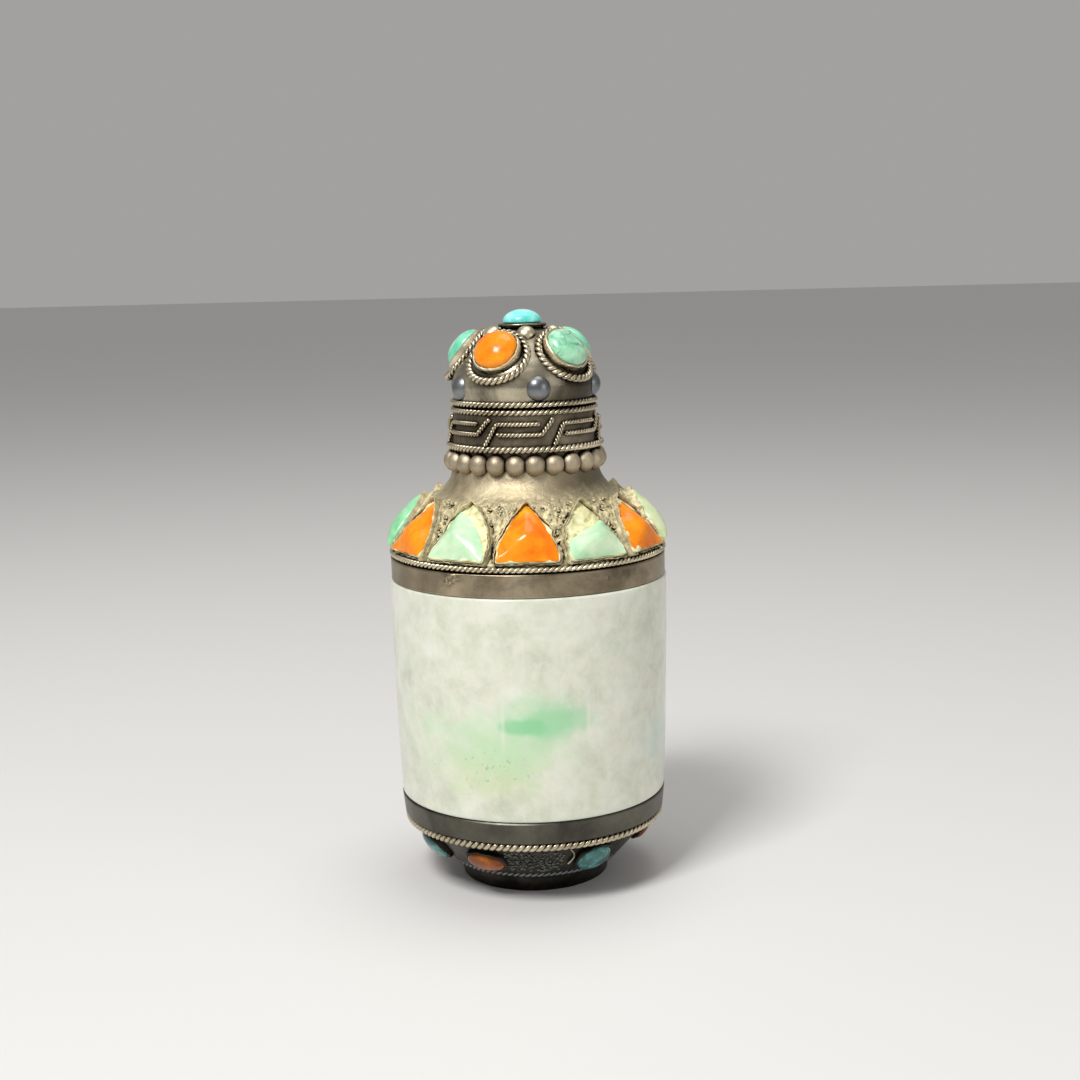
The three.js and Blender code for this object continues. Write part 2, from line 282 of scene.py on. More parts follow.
def silverFinish(name, **changes):
    # bright where hands rub it, black where tarnish stays
    look = silverLook | changes
    finish, tree, shader = newFinish(name, Metallic=1.0)
    where = objectPlace(tree)
    cloud = noiseNode(tree, 240, 5, place=where)
    fine = noiseNode(tree, 1700, 6, 0.65, place=where)
    specks = noiseNode(tree, 3600, 3, 0.6, place=where)
    old = noiseNode(tree, 95, 6, 0.65, 0.5, place=where)
    hollow = addNode(tree, "ShaderNodeAmbientOcclusion", {"Distance": look["reach"]}, samples=8)
    dirt = mixNode(tree, 0.22, hollow.outputs["AO"], fine, "LINEAR_LIGHT")
    clean = greyRamp(tree, dirt, *look["clean"])
    metal = mixNode(tree, greyRamp(tree, cloud, 0.35, 0.65), look["worn"], look["bright"])
    metal = mixNode(tree, greyRamp(tree, specks, 0.56, 0.72, 0, 0.45), metal, look["worn"])
    dark = tuple(0.2 * c for c in look["worn"])
    metal = mixNode(tree, greyRamp(tree, old, 0.48, 0.66, 0, look["patina"]), metal, dark)
    axes = axesOf(tree, where)
    # painted shade: the +x side is mixed towards the dark tone, as if turned away from the light
    if look["darkSide"]:
        aside = mathNode(tree, "ADD", axes["X"], mathNode(tree, "MULTIPLY", cloud, 2 * mm))
        side = rangeNode(tree, aside, look["paintedShadeFrom"] * mm, look["paintedShadeTo"] * mm, look["darkSide"])
        metal = mixNode(tree, side, metal, dark)
    smooth, dull = look["roughness"]
    rough = rampNode(tree, mixNode(tree, 0.5, cloud, fine), [(0.3, (smooth,) * 3), (0.7, (dull,) * 3)])
    if look["crust"]:
        low, high = look["crust"]
        # the noise is centred on a half, so it lifts the edge by half its reach
        wander = mathNode(tree, "MULTIPLY", noiseNode(tree, 900, 5, place=where), look["ragged"] * mm)
        lift = look["ragged"] / 2
        ragged = mathNode(tree, "ADD", axes["Z"], wander)
        crust = rangeNode(tree, ragged, (high + lift) * mm, (low + lift) * mm)
        deep, middling, pale = (
            tuple(share * c for c in look["crustColour"]) for share in look["crustShades"])
        grime = mixNode(tree, greyRamp(tree, cloud, 0.35, 0.65), middling, pale)
        grime = mixNode(tree, greyRamp(tree, fine, 0.42, 0.56, 0.75, 0), grime, deep)
        metal = mixNode(tree, crust, metal, grime)
        rough = mixNode(tree, crust, rough, (0.6, 0.6, 0.6))
        lost = mathNode(tree, "MULTIPLY", crust, 0.6)  # crust is less metallic than silver
        tree.links.new(mathNode(tree, "SUBTRACT", 1.0, lost), shader.inputs["Metallic"])
    colour = mixNode(tree, clean, look["tarnish"], metal)
    tree.links.new(colour, shader.inputs["Base Color"])
    tree.links.new(rough, shader.inputs["Roughness"])
    relief = mixNode(tree, 0.4, fine, specks)
    if look["brushed"]:
        streaked = addNode(tree, "ShaderNodeMapping", {
            "Vector": where, "Scale": (1, 1, 14)}).outputs["Vector"]
        relief = mixNode(tree, look["brushed"], relief, noiseNode(tree, 420, 5, place=streaked))
    bumpNode(tree, shader, relief, (0.02 + 0.06 * look["pits"]) * mm)
    return finish


silver = silverFinish("agedSilver", bright=(0.76, 0.67, 0.49), worn=(0.50, 0.42, 0.29), patina=0.35)
# the dome's +x side carries painted shade
domeSilver = silverFinish(
    "domeSilver", bright=(0.64, 0.575, 0.43), worn=(0.38, 0.33, 0.23), reach=1.5 * mm, clean=(0.50, 0.97),
    roughness=(0.2, 0.4), pits=0.2, patina=0.85, darkSide=0.97)
settingSilver = silverFinish(
    "settingSilver", bright=(0.86, 0.77, 0.55), worn=(0.62, 0.53, 0.36), reach=0.9 * mm, clean=(0.40, 0.66),
    pits=0.3, patina=0.2)
edgeSilver = silverFinish(
    "edgeSilver", bright=(0.84, 0.75, 0.54), worn=(0.60, 0.51, 0.35), reach=0.45 * mm, clean=(0.3, 0.62),
    patina=0.3)
# the +x side of the smooth upper shoulder carries painted shade
shoulderSilver = silverFinish(
    "shoulderSilver", bright=(0.64, 0.55, 0.38), worn=(0.44, 0.36, 0.23), clean=(0.36, 0.66), reach=0.6 * mm,
    roughness=(0.46, 0.6), pits=0.9, patina=0.6, crust=(42.4, 45.6), darkSide=0.7)
wallSilver = silverFinish(
    "wallSilver", bright=(0.88, 0.79, 0.54), worn=(0.62, 0.52, 0.33), clean=(0.30, 0.64), reach=0.6 * mm,
    roughness=(0.42, 0.6), pits=0.8, patina=0.3, crust=(60, 62))
fretSilver = silverFinish(
    "frettedSilver", bright=(0.36, 0.30, 0.21), worn=(0.19, 0.155, 0.11), reach=1.2 * mm, clean=(0.46, 0.96),
    roughness=(0.34, 0.5), pits=0.4)
beadSilver = silverFinish(
    "beadSilver", bright=(0.60, 0.51, 0.37), worn=(0.38, 0.31, 0.22), clean=(0.36, 0.76),
    roughness=(0.46, 0.6), pits=0.6, patina=0.3)
satinSilver = silverFinish(
    "satinSilver", bright=(0.43, 0.355, 0.245), worn=(0.27, 0.215, 0.14), reach=0.4 * mm, clean=(0.2, 0.6),
    roughness=(0.28, 0.42), brushed=0.5, patina=0.7)
# the foot's dark tarnish, deepened with painted shade
darkTarnishAndShade = silverFinish(
    "darkTarnishAndShade", bright=(0.15, 0.14, 0.11), worn=(0.08, 0.075, 0.062), roughness=(0.3, 0.5), brushed=0.4)
# darker still below the foot's band and on its settings: tarnish with painted shade
footTarnishAndShade = silverFinish(
    "footTarnishAndShade", bright=(0.11, 0.097, 0.076), worn=(0.035, 0.031, 0.026), reach=1.5 * mm, clean=(0.4, 0.95),
    roughness=(0.3, 0.5), pits=0.6)
grainSilver = silverFinish(
    "grainSilver", bright=(0.20, 0.21, 0.18), worn=(0.10, 0.11, 0.095), reach=0.5 * mm,
    roughness=(0.36, 0.55), pits=0.5)
bossSilver = silverFinish(
    "bossSilver", bright=(0.25, 0.26, 0.27), worn=(0.17, 0.18, 0.19), clean=(0.2, 0.6),
    roughness=(0.28, 0.42), patina=0.5)

stoneLooks = {
    "coral": {"deep": (0.80, 0.13, 0.0), "base": (0.93, 0.235, 0.0), "pale": (0.95, 0.37, 0.015),
              "scale": 300, "roughness": 0.24, "skin": 0.2, "shine": 0.3},
    # the foot's coral: amber, darkened with painted shade
    "amberCoralInPaintedShade": {"deep": (0.12, 0.018, 0.0), "base": (0.27, 0.062, 0.001), "pale": (0.52, 0.16, 0.01),
                   "scale": 420, "roughness": 0.22, "skin": 0.15, "shine": 0.3},
    "paleTurquoise": {"deep": (0.38, 0.62, 0.38), "base": (0.50, 0.74, 0.47), "pale": (0.74, 0.86, 0.60),
                      "scale": 280, "roughness": 0.36, "skin": 0.15},
    "greenTurquoise": {"deep": (0.16, 0.50, 0.22), "base": (0.27, 0.64, 0.34), "pale": (0.46, 0.78, 0.48),
                       "scale": 300, "roughness": 0.3, "skin": 0.15},
    "yellowTurquoise": {"deep": (0.44, 0.54, 0.28), "base": (0.58, 0.68, 0.38), "pale": (0.74, 0.80, 0.56),
                        "scale": 300, "roughness": 0.36, "skin": 0.15},
    "mintTurquoise": {"deep": (0.12, 0.52, 0.34), "base": (0.24, 0.70, 0.46), "pale": (0.52, 0.84, 0.64),
                      "scale": 380, "roughness": 0.26, "skin": 0.15},
    "veinedTurquoise": {"deep": (0.16, 0.48, 0.29), "base": (0.33, 0.68, 0.44), "pale": (0.64, 0.86, 0.66),
                        "scale": 420, "roughness": 0.24, "skin": 0.1},
    "skyTurquoise": {"deep": (0.10, 0.60, 0.56), "base": (0.20, 0.78, 0.71), "pale": (0.50, 0.90, 0.84),
                     "scale": 420, "roughness": 0.28, "skin": 0.15},
    # the foot's turquoise: teal, darkened with painted shade
    "tealTurquoiseInPaintedShade": {"deep": (0.004, 0.05, 0.05), "base": (0.015, 0.14, 0.135), "pale": (0.20, 0.50, 0.45),
                      "scale": 600, "roughness": 0.26, "skin": 0.1},
    "cement": {"deep": (0.36, 0.33, 0.13), "base": (0.74, 0.70, 0.38), "pale": (0.90, 0.87, 0.60),
               "scale": 1100, "roughness": 0.75, "skin": 0.0},
}


def stoneFinish(name, veins=0.0, coat=0.3, bump=0.02):
    look = stoneLooks[name]
    finish, tree, shader = newFinish(
        name, Roughness=look["roughness"], Subsurface_Weight=look["skin"], Subsurface_Scale=0.6 * mm,
        Coat_Weight=coat, Coat_Roughness=0.12, Specular_IOR_Level=look.get("shine", 0.5),
    )
    where = objectPlace(tree)
    cloud = noiseNode(tree, look["scale"], 5, 0.6, 0.4, where)
    colour = rampNode(tree, cloud, [(0.32, look["deep"]), (0.48, look["base"]), (0.7, look["pale"])])
    fleck = greyRamp(tree, noiseNode(tree, look["scale"] * 4.5, 2, 0.5, place=where), 0.66, 0.76, 0, 0.35)
    colour = mixNode(tree, fleck, colour, look["pale"])
    if veins:
        bent = mixNode(tree, 0.0012, where, driftNode(tree, where, 700, 3))
        crack = addNode(tree, "ShaderNodeTexVoronoi", {"Vector": bent, "Scale": 560, "Randomness": 1.0},
                        feature="DISTANCE_TO_EDGE").outputs["Distance"]
        line = greyRamp(tree, crack, 0.0, 0.075, veins, 0)
        patches = greyRamp(tree, noiseNode(tree, 330, 3, place=where), 0.44, 0.56)
        colour = mixNode(tree, mixNode(tree, 1.0, line, patches, "MULTIPLY"), colour, (0.04, 0.10, 0.07))
    tree.links.new(colour, shader.inputs["Base Color"])
    bumpNode(tree, shader, noiseNode(tree, 900, 4, place=where), bump * mm)
    return finish


coral = stoneFinish("coral", coat=0.22)
amberCoralInPaintedShade = stoneFinish("amberCoralInPaintedShade", coat=0.22)
paleTurquoise = stoneFinish("paleTurquoise", coat=0.15, bump=0.04)
greenTurquoise = stoneFinish("greenTurquoise")
yellowTurquoise = stoneFinish("yellowTurquoise", coat=0.1, bump=0.04)
mintTurquoise = stoneFinish("mintTurquoise")
veinedTurquoise = stoneFinish("veinedTurquoise", veins=0.85)
skyTurquoise = stoneFinish("skyTurquoise")
tealTurquoiseInPaintedShade = stoneFinish("tealTurquoiseInPaintedShade", veins=0.5)
cement = stoneFinish("cement", coat=0.0, bump=0.08)

jadeLook = {
    "pale": (0.655, 0.675, 0.55), "cloud": (0.78, 0.785, 0.685), "tint": (0.55, 0.58, 0.46),
    # colour, centre (x, z) and half sizes in millimetres, softness, strength, the edge's wandering
    "clouds": [
        ((0.53, 0.72, 0.46), (-4.4, 18.6), (10.5, 5.2), 1.1, 0.8, 1.5),
        ((0.50, 0.73, 0.46), (-2.4, 17.4), (4.4, 2.6), 1.0, 0.5, 1.5),
        ((0.38, 0.69, 0.39), (1.4, 21.5), (5.6, 3.5), 0.95, 0.66, 0.7),
        ((0.28, 0.64, 0.34), (2.4, 21.3), (4.6, 1.9), 0.8, 0.6, 0.9),
        ((0.24, 0.62, 0.31), (-0.8, 20.9), (2.9, 1.05), 0.55, 0.75, 0.9),
        ((0.42, 0.60, 0.56), (14.2, 17.0), (2.4, 3.5), 1.0, 0.5, 1.1),
        ((0.60, 0.70, 0.38), (-5.2, 15.0), (7.0, 2.6), 1.0, 0.42, 1.8),
    ],
    "edge": 1.15,  # where a cloud ends, in its own half sizes
    # x of the pale upright lines at both ends of the green, the height of their middle, how far from it they
    # are gone and still full, and their half width
    "flaws": (-3.0, 6.1), "flawHeight": 21.2, "flawReach": (3.6, 1.5), "flawWidth": 0.32,
    "fleck": (0.22, 0.33, 0.16),  # dark flecks below the green
}


def jadeFinish():
    finish, tree, shader = newFinish(
        "paleJade", Roughness=0.3, Subsurface_Weight=0.3, Subsurface_Scale=1.4 * mm, Coat_Weight=0.35,
        Coat_Roughness=0.14,
    )
    where = objectPlace(tree)
    broad = noiseNode(tree, 190, 7, 0.66, 0.25, where)
    fine = noiseNode(tree, 520, 6, 0.7, 0.5, where)
    tones = zip((0.32, 0.46, 0.64), (jadeLook["tint"], jadeLook["pale"], jadeLook["cloud"]))
    colour = rampNode(tree, broad, list(tones))
    colour = mixNode(tree, greyRamp(tree, fine, 0.46, 0.66, 0, 0.6), colour, jadeLook["cloud"])
    axes = axesOf(tree, where)
    front = rangeNode(tree, axes["Y"], 1 * mm, -5 * mm)  # the clouds are on the front half only
    drift = driftNode(tree, where, 480, 5)
    for shade, (x, z), (wide, tall), soft, strength, wander in jadeLook["clouds"]:
        centred = addNode(tree, "ShaderNodeMapping", {
            "Vector": where, "Location": (-x / wide, 0, -z / tall),
            "Scale": (1 / (wide * mm), 0, 1 / (tall * mm)),
        }).outputs["Vector"]
        # the cloud's edge wanders with the noise, which is centred on a half
        ragged = vectorNode(tree, "SUBTRACT", drift, (0.5, 0.5, 0.5))
        ragged = vectorNode(tree, "MULTIPLY", ragged, (wander, 0, wander))
        reach = lengthNode(tree, vectorNode(tree, "ADD", centred, ragged))
        edge = jadeLook["edge"]
        mask = rangeNode(tree, reach, edge, edge - soft, strength, interpolation_type="SMOOTHSTEP")
        colour = mixNode(tree, mathNode(tree, "MULTIPLY", mask, front), colour, shade)
    farthest, nearest = jadeLook["flawReach"]
    away = mathNode(tree, "ABSOLUTE", mathNode(tree, "SUBTRACT", axes["Z"], jadeLook["flawHeight"] * mm))
    for flaw in jadeLook["flaws"]:
        aside = mathNode(tree, "ABSOLUTE", mathNode(tree, "SUBTRACT", axes["X"], flaw * mm))
        line = rangeNode(tree, aside, jadeLook["flawWidth"] * mm, 0)
        short = rangeNode(tree, away, farthest * mm, nearest * mm)
        half = mathNode(tree, "MULTIPLY", front, 0.5)
        mask = mathNode(tree, "MULTIPLY", mathNode(tree, "MULTIPLY", line, short), half)
        colour = mixNode(tree, mask, colour, jadeLook["cloud"])
    specks = greyRamp(tree, noiseNode(tree, 1500, 3, 0.6, place=where), 0.62, 0.68, 0, 1)
    low = addNode(tree, "ShaderNodeMapping", {
        "Vector": where, "Location": (0.8, 0, -5.3), "Scale": (1 / (7 * mm), 0, 1 / (3 * mm)),
    }).outputs["Vector"]
    spread = rangeNode(tree, lengthNode(tree, low), 1.0, 0.3)
    spread = mathNode(tree, "MULTIPLY", mathNode(tree, "MULTIPLY", spread, front), 0.6)
    colour = mixNode(tree, mathNode(tree, "MULTIPLY", specks, spread), colour, jadeLook["fleck"])
    tree.links.new(colour, shader.inputs["Base Color"])
    bumpNode(tree, shader, noiseNode(tree, 700, 5, place=where), 0.006 * mm)
    return finish


jade = jadeFinish()
print("finishes made")


view = {
    "place": (1.4, -184.5, 68.6), "down": 9.33, "roll": -1.38, "lens": 55.3,
}
cameraData = bpy.data.cameras.new("camera")
cameraData.lens = view["lens"]
cameraData.sensor_width = 36
cameraData.clip_start = 0.01
camera = bpy.data.objects.new("camera", cameraData)
scene.collection.objects.link(camera)
camera.matrix_world = (
    Matrix.Translation(Vector(view["place"]) * mm)
    @ Matrix.Rotation(math.radians(90 - view["down"]), 4, "X")
    @ Matrix.Rotation(math.radians(view["roll"]), 4, "Z")
)
scene.camera = camera

studio = {
    "world": (0.86, 0.85, 0.84), "worldStrength": 0.42, "floor": (0.70, 0.69, 0.67),
    "floorSpeck": (0.72, 0.71, 0.69), "aim": (0, 0, 0.035),
    # place in metres, size in metres, power in watts
    "key": ((-0.17, -0.27, 0.45), 0.15, 2.45), "fill": ((0.36, -0.24, 0.14), 0.2, 0.2),
    "top": ((0.05, 0.06, 0.42), 0.2, 0.35),
}


def addLight(name, spot, size, power):
    data = bpy.data.lights.new(name, "AREA")
    data.shape = "SQUARE"
    data.size = size
    data.energy = power
    lamp = bpy.data.objects.new(name, data)
    scene.collection.objects.link(lamp)
    lamp.location = spot
    lamp.rotation_euler = (Vector(studio["aim"]) - Vector(spot)).to_track_quat("-Z", "Y").to_euler()


for lampName in ("key", "fill", "top"):
    addLight(lampName, *studio[lampName])
world = bpy.data.worlds.new("studio")
scene.world = world
world.use_nodes = True
world.node_tree.nodes["Background"].inputs["Color"].default_value = (*studio["world"], 1)
world.node_tree.nodes["Background"].inputs["Strength"].default_value = studio["worldStrength"]
scene.view_settings.view_transform = "Standard"

floorFinish, floorTree, floorShader = newFinish("paleFloor", Roughness=0.6)
floorTone = mixNode(floorTree, noiseNode(floorTree, 6, 3), studio["floor"], studio["floorSpeck"])
floorTree.links.new(floorTone, floorShader.inputs["Base Color"])
floor = newPiece("floor", [(-4000, -4000, 0), (4000, -4000, 0), (4000, 4000, 0), (-4000, 4000, 0)],
                 [(0, 1, 2, 3)], floorFinish)
print("camera, light and floor set")


def newTree(name, inputs):
    tree = bpy.data.node_groups.new(name, "GeometryNodeTree")
    tree.interface.new_socket(name="Geometry", in_out="INPUT", socket_type="NodeSocketGeometry")
    tree.interface.new_socket(name="Geometry", in_out="OUTPUT", socket_type="NodeSocketGeometry")
    for label, kind in inputs:
        tree.interface.new_socket(name=label, in_out="INPUT", socket_type="NodeSocket" + kind)
    return tree, tree.nodes.new("NodeGroupInput"), tree.nodes.new("NodeGroupOutput")


def finishTree(tree, geometry, source, sink):
    smooth = addNode(tree, "GeometryNodeSetShadeSmooth", {"Geometry": geometry}).outputs[0]
    real = addNode(tree, "GeometryNodeRealizeInstances", {"Geometry": smooth}).outputs[0]
    dressed = addNode(tree, "GeometryNodeSetMaterial", {
        "Geometry": real, "Material": source.outputs["Material"]})
    tree.links.new(dressed.outputs[0], sink.inputs["Geometry"])


def tubeAlong(tree, path, sides, radius):
    section = addNode(tree, "GeometryNodeCurvePrimitiveCircle", {"Resolution": sides, "Radius": radius})
    return addNode(tree, "GeometryNodeCurveToMesh", {
        "Curve": path, "Profile Curve": section.outputs[0], "Fill Caps": True}).outputs[0]


def twistedWireTree():
    # strands wound round every edge path of the host mesh, a whole number of turns on each
    tree, source, sink = newTree("twistedWire", [
        ("Pitch", "Float"), ("Strand radius", "Float"), ("Twist radius", "Float"), ("Strands", "Int"),
        ("Steps per turn", "Float"), ("Sides", "Int"), ("Hand", "Float"), ("Material", "Material"),
    ])
    given = source.outputs
    path = addNode(tree, "GeometryNodeMeshToCurve", {"Mesh": given["Geometry"]}).outputs[0]
    step = mathNode(tree, "DIVIDE", given["Pitch"], given["Steps per turn"])
    even = addNode(tree, "GeometryNodeResampleCurve", {"Curve": path, "Length": step}, mode="LENGTH")
    copies = addNode(tree, "GeometryNodeDuplicateElements", {
        "Geometry": even.outputs[0], "Amount": given["Strands"]}, domain="SPLINE")
    length = addNode(tree, "GeometryNodeSplineLength").outputs["Length"]
    turns = mathNode(tree, "ROUND", mathNode(tree, "DIVIDE", length, given["Pitch"]))
    along = addNode(tree, "GeometryNodeSplineParameter").outputs["Factor"]
    share = mathNode(tree, "DIVIDE", copies.outputs["Duplicate Index"], given["Strands"])
    angle = mathNode(tree, "MULTIPLY", mathNode(tree, "MULTIPLY", along, turns), given["Hand"])
    angle = mathNode(tree, "MULTIPLY", mathNode(tree, "ADD", angle, share), fullTurn)
    normal = addNode(tree, "GeometryNodeInputNormal").outputs[0]
    tangent = addNode(tree, "GeometryNodeInputTangent").outputs[0]
    across = vectorNode(tree, "CROSS_PRODUCT", tangent, normal)
    sideways = vectorNode(tree, "SCALE", normal, scale=mathNode(tree, "COSINE", angle))
    upwards = vectorNode(tree, "SCALE", across, scale=mathNode(tree, "SINE", angle))
    shift = vectorNode(tree, "SCALE", vectorNode(tree, "ADD", sideways, upwards), scale=given["Twist radius"])
    wound = addNode(tree, "GeometryNodeSetPosition", {
        "Geometry": copies.outputs["Geometry"], "Offset": shift})
    finishTree(tree, tubeAlong(tree, wound.outputs[0], given["Sides"], given["Strand radius"]), source, sink)
    return tree


def beadRowTree():
    # raised beads at even places round a circle, each a little different
    tree, source, sink = newTree("beadRow", [
        ("Ring radius", "Float"), ("Height", "Float"), ("First angle", "Float"), ("Count", "Int"),
        ("Bead radius", "Float"), ("Least", "Vector"), ("Most", "Vector"), ("Seed", "Int"),
        ("Material", "Material"),
    ])
    given = source.outputs
    ring = addNode(tree, "GeometryNodeMeshCircle", {
        "Vertices": given["Count"], "Radius": given["Ring radius"]})
    lift = addNode(tree, "ShaderNodeCombineXYZ", {"Z": given["Height"]}).outputs[0]
    spin = addNode(tree, "ShaderNodeCombineXYZ", {"Z": given["First angle"]}).outputs[0]
    spots = addNode(tree, "GeometryNodeTransform", {
        "Geometry": ring.outputs[0], "Translation": lift, "Rotation": spin}).outputs[0]
    bead = addNode(tree, "GeometryNodeMeshUVSphere", {
        "Segments": 22, "Rings": 14, "Radius": given["Bead radius"]})
    middle = addNode(tree, "GeometryNodeInputPosition").outputs[0]
    outwards = vectorNode(tree, "MULTIPLY", middle, (1, 1, 0))
    facing = addNode(tree, "FunctionNodeAlignRotationToVector", {"Vector": outwards}, axis="X")
    size = addNode(tree, "FunctionNodeRandomValue", {
        "Min": given["Least"], "Max": given["Most"], "Seed": given["Seed"]}, data_type="FLOAT_VECTOR")
    row = addNode(tree, "GeometryNodeInstanceOnPoints", {
        "Points": spots, "Instance": bead.outputs[0],
        "Rotation": facing.outputs[0], "Scale": size.outputs[0]})
    finishTree(tree, row.outputs[0], source, sink)
    return tree


def granulesTree():
    # small grains of silver scattered over the host mesh
    tree, source, sink = newTree("granules", [
        ("Density", "Float"), ("Grain radius", "Float"), ("Least", "Float"), ("Most", "Float"),
        ("Seed", "Int"), ("Roundness", "Int"), ("Material", "Material"),
    ])
    given = source.outputs
    spots = addNode(tree, "GeometryNodeDistributePointsOnFaces", {
        "Mesh": given["Geometry"], "Density": given["Density"], "Seed": given["Seed"]})
    size = addNode(tree, "FunctionNodeRandomValue", {"Seed": given["Seed"]}, data_type="FLOAT")
    tree.links.new(given["Least"], size.inputs[2])
    tree.links.new(given["Most"], size.inputs[3])
    turn = addNode(tree, "FunctionNodeRandomValue", {"Seed": given["Seed"]}, data_type="FLOAT_VECTOR")
    turn.inputs["Max"].default_value = (fullTurn,) * 3
    crumb = addNode(tree, "GeometryNodeMeshIcoSphere", {
        "Radius": given["Grain radius"], "Subdivisions": given["Roundness"]})
    grains = addNode(tree, "GeometryNodeInstanceOnPoints", {
        "Points": spots.outputs["Points"], "Instance": crumb.outputs[0],
        "Rotation": turn.outputs[0], "Scale": size.outputs[1]})
    finishTree(tree, grains.outputs[0], source, sink)
    return tree


def plainWireTree():
    # one smooth round wire along each path of the host mesh
    tree, source, sink = newTree("plainWire", [
        ("Wire radius", "Float"), ("Sides", "Int"), ("Material", "Material")])
    given = source.outputs
    path = addNode(tree, "GeometryNodeMeshToCurve", {"Mesh": given["Geometry"]}).outputs[0]
    finishTree(tree, tubeAlong(tree, path, given["Sides"], given["Wire radius"]), source, sink)
    return tree


wireTree = twistedWireTree()
beadTree = beadRowTree()
granuleTree = granulesTree()
plainTree = plainWireTree()


def grown(piece, tree, values):
    # runs a tree on a host mesh and keeps the result as a plain mesh
    modifier = piece.modifiers.new(tree.name, "NODES")
    modifier.node_group = tree
    for item in tree.interface.items_tree:
        if item.in_out == "INPUT" and item.name in values:
            modifier[item.identifier] = values[item.name]
    state = bpy.context.evaluated_depsgraph_get()
    mesh = bpy.data.meshes.new_from_object(piece.evaluated_get(state))
    piece.modifiers.clear()
    piece.data = mesh
    return piece


def hostPaths(name, paths):
    # each path is a list of points and whether it closes on itself
    points, edges = [], []
    for path, closed in paths:
        start = len(points)
        points += path
        edges += [(start + i, start + i + 1) for i in range(len(path) - 1)]
        if closed:
            edges.append((start + len(path) - 1, start))
    return newPiece(name, points, [], None, edges=edges)


ropeShape = {"strands": 2, "strandShare": 0.54, "stepsPerTurn": 10.0, "hand": -1.0, "ringSteps": 180}


def twistedWire(name, paths, wire, spacing, finish, sides=8):
    # wire is the radius over both strands, spacing the distance from one visible strand to the next
    strand = wire * ropeShape["strandShare"]
    strands = ropeShape["strands"]
    return grown(hostPaths(name, paths), wireTree, {
        "Pitch": spacing * strands * mm, "Strand radius": strand * mm, "Twist radius": (wire - strand) * mm,
        "Strands": strands, "Steps per turn": ropeShape["stepsPerTurn"], "Sides": sides,
        "Hand": ropeShape["hand"], "Material": finish,
    })


def wireRing(name, spec, finish):
    steps = ropeShape["ringSteps"]
    path = [onSkin(360 * i / steps, spec["radius"], spec["height"]) for i in range(steps)]
    return twistedWire(name, [(path, True)], spec["wire"], spec["spacing"], finish)


print("node trees made")


def ovalOutline(across, along, steps=72, power=2.0):
    line = []
    for i in range(steps):
        turn = fullTurn * i / steps
        c, s = math.cos(turn), math.sin(turn)
        reach = (abs(c) ** power + abs(s) ** power) ** (-1 / power)
        line.append((across * reach * c, along * reach * s))
    return np.array(line)


def evenly(line, steps):
    # the same closed line with points at even distances
    closed = np.vstack([line, line[:1]])
    gaps = np.hypot(*np.diff(closed, axis=0).T)
    walked = np.concatenate([[0], np.cumsum(gaps)])
    marks = np.linspace(0, walked[-1], steps, endpoint=False)
    return np.stack([np.interp(marks, walked, closed[:, k]) for k in (0, 1)], axis=1)


def softened(line, rounds):
    for _ in range(rounds):
        line = (np.roll(line, 1, axis=0) + 2 * line + np.roll(line, -1, axis=0)) / 4
    return line


def outwardNormals(line):
    along = np.roll(line, -1, axis=0) - np.roll(line, 1, axis=0)
    normals = np.stack([along[:, 1], -along[:, 0]], axis=1)
    return normals / np.linalg.norm(normals, axis=1)[:, None]


def stonePiece(name, line, centre, rim, crown, base, seat, finish, shape=2.0, rings=16, seed=0.0,
               rough=0.03):
    # rings of the outline shrink towards the centre while the crown rises; shape sets how full it is
    centre = np.array(centre)
    count = len(line)
    # the corners of a finely drawn outline fade up the crown
    rounded = softened(line, 600) if count > 90 else line
    levels = [(base, 0.93), (base + 0.05, 0.99), (rim, 1.0)]
    levels += [
        (rim + crown * (1 - t ** shape) ** (1 / shape if shape >= 2 else 1), t)
        for t in np.sin(np.linspace(math.pi / 2, 0, rings))[1:-1]
    ]
    points, faces = [], []
    for height, share in levels:
        corners = share ** 3
        for x, y in centre + ((line - centre) * corners + (rounded - centre) * (1 - corners)) * share:
            lump = noise.noise(Vector((x, y, height)) * 0.9 + Vector((seed, 3 * seed, 7 * seed)))
            points.append(seat @ Vector((x, y, height + rough * lump * (height > rim))))
    for level in range(len(levels) - 1):
        for i in range(count):
            k = (i + 1) % count
            a, b = level * count, (level + 1) * count
            faces.append((a + i, a + k, b + k, b + i))
    bottom, top = len(points), len(points) + 1
    points += [seat @ Vector((*centre, base)), seat @ Vector((*centre, rim + crown))]
    last = (len(levels) - 1) * count
    for i in range(count):
        k = (i + 1) % count
        faces += [(bottom, k, i), (top, last + i, last + k)]
    return newPiece(name, points, faces, finish, sharp=55)


